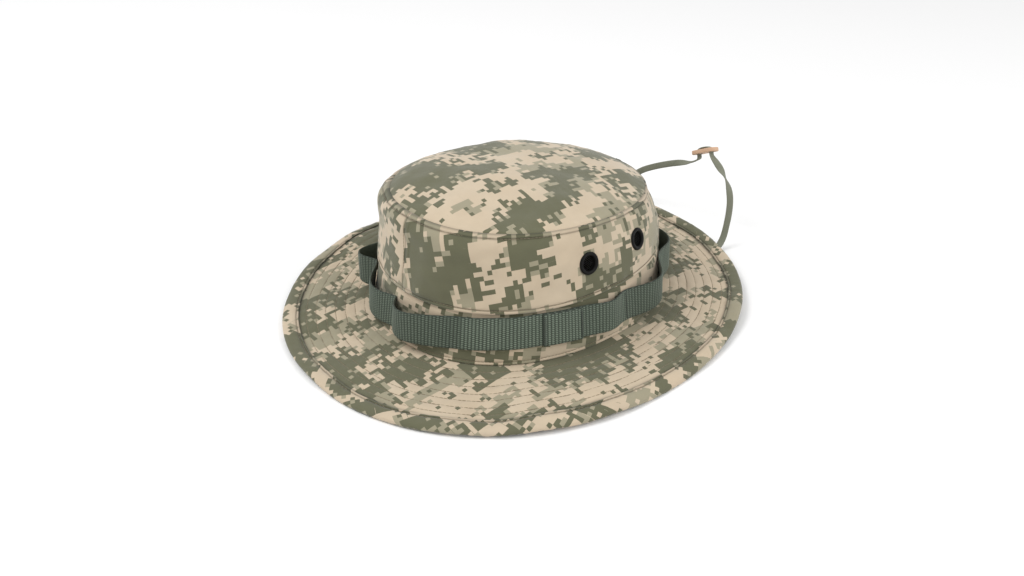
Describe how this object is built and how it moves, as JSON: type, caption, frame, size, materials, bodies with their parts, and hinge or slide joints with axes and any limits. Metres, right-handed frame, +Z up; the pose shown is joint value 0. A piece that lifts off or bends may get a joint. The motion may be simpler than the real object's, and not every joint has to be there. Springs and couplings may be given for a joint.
{
  "type": "boonie hat",
  "caption": "Soft wide-brimmed field hat: oval domed crown, flared band with branch loops of webbing, screened vents, stitched brim and a chin strap with a leather slide.",
  "frame": {"origin": "on the surface that the brim rests on, under the middle of the hat without its chin strap", "axes": "+Z up, the hat's front faces -Y, the wearer's left is +X"},
  "size_m": [0.299, 0.3503, 0.106],
  "materials": {
    "camouflage_cloth": "ripstop cloth printed with a pixelated three-colour pattern",
    "interlining": "plain woven stiffener",
    "sweatband_cloth": "plain cotton twill",
    "binding_tape": "woven tape",
    "label_cloth": "blank white tape",
    "webbing": "ribbed nylon webbing",
    "thread": "nylon thread, zigzag stitched",
    "lace": "flat braided lace",
    "leather": "undyed leather, smooth face",
    "black_metal": "black enamelled brass",
    "black_screen": "black enamelled wire screen"
  },
  "bodies": {
    "hat": {"crown_top_panel": "camouflage_cloth", "crown_side_left": "camouflage_cloth", "crown_side_right": "camouflage_cloth", "crown_lower_band": "camouflage_cloth", "brim_upper_ply": "camouflage_cloth", "brim_lower_ply": "camouflage_cloth", "brim_edge_band": "camouflage_cloth", "brim_interlining": "interlining", "sweatband": "sweatband_cloth", "crown_top_binding": "binding_tape", "size_label": "label_cloth", "branch_loop_webbing": "webbing", "webbing_bartacks": "thread", "chin_strap": "lace", "strap_tack_left": "lace", "strap_tack_right": "lace", "vent_barrel_front_left": "black_metal", "vent_screen_front_left": "black_screen", "vent_washer_front_left": "black_metal", "vent_barrel_rear_left": "black_metal", "vent_screen_rear_left": "black_screen", "vent_washer_rear_left": "black_metal", "vent_barrel_rear_right": "black_metal", "vent_screen_rear_right": "black_screen", "vent_washer_rear_right": "black_metal", "vent_barrel_front_right": "black_metal", "vent_screen_front_right": "black_screen", "vent_washer_front_right": "black_metal"},
    "slide": {"strap_slide": "leather"}
  },
  "joints": [
    {"name": "slide_on_strap", "type": "slide", "parent": "hat", "child": "slide", "axis": [0.4209, -0.2505, -0.8718], "range_m": [0, 0.0025]}
  ]
}
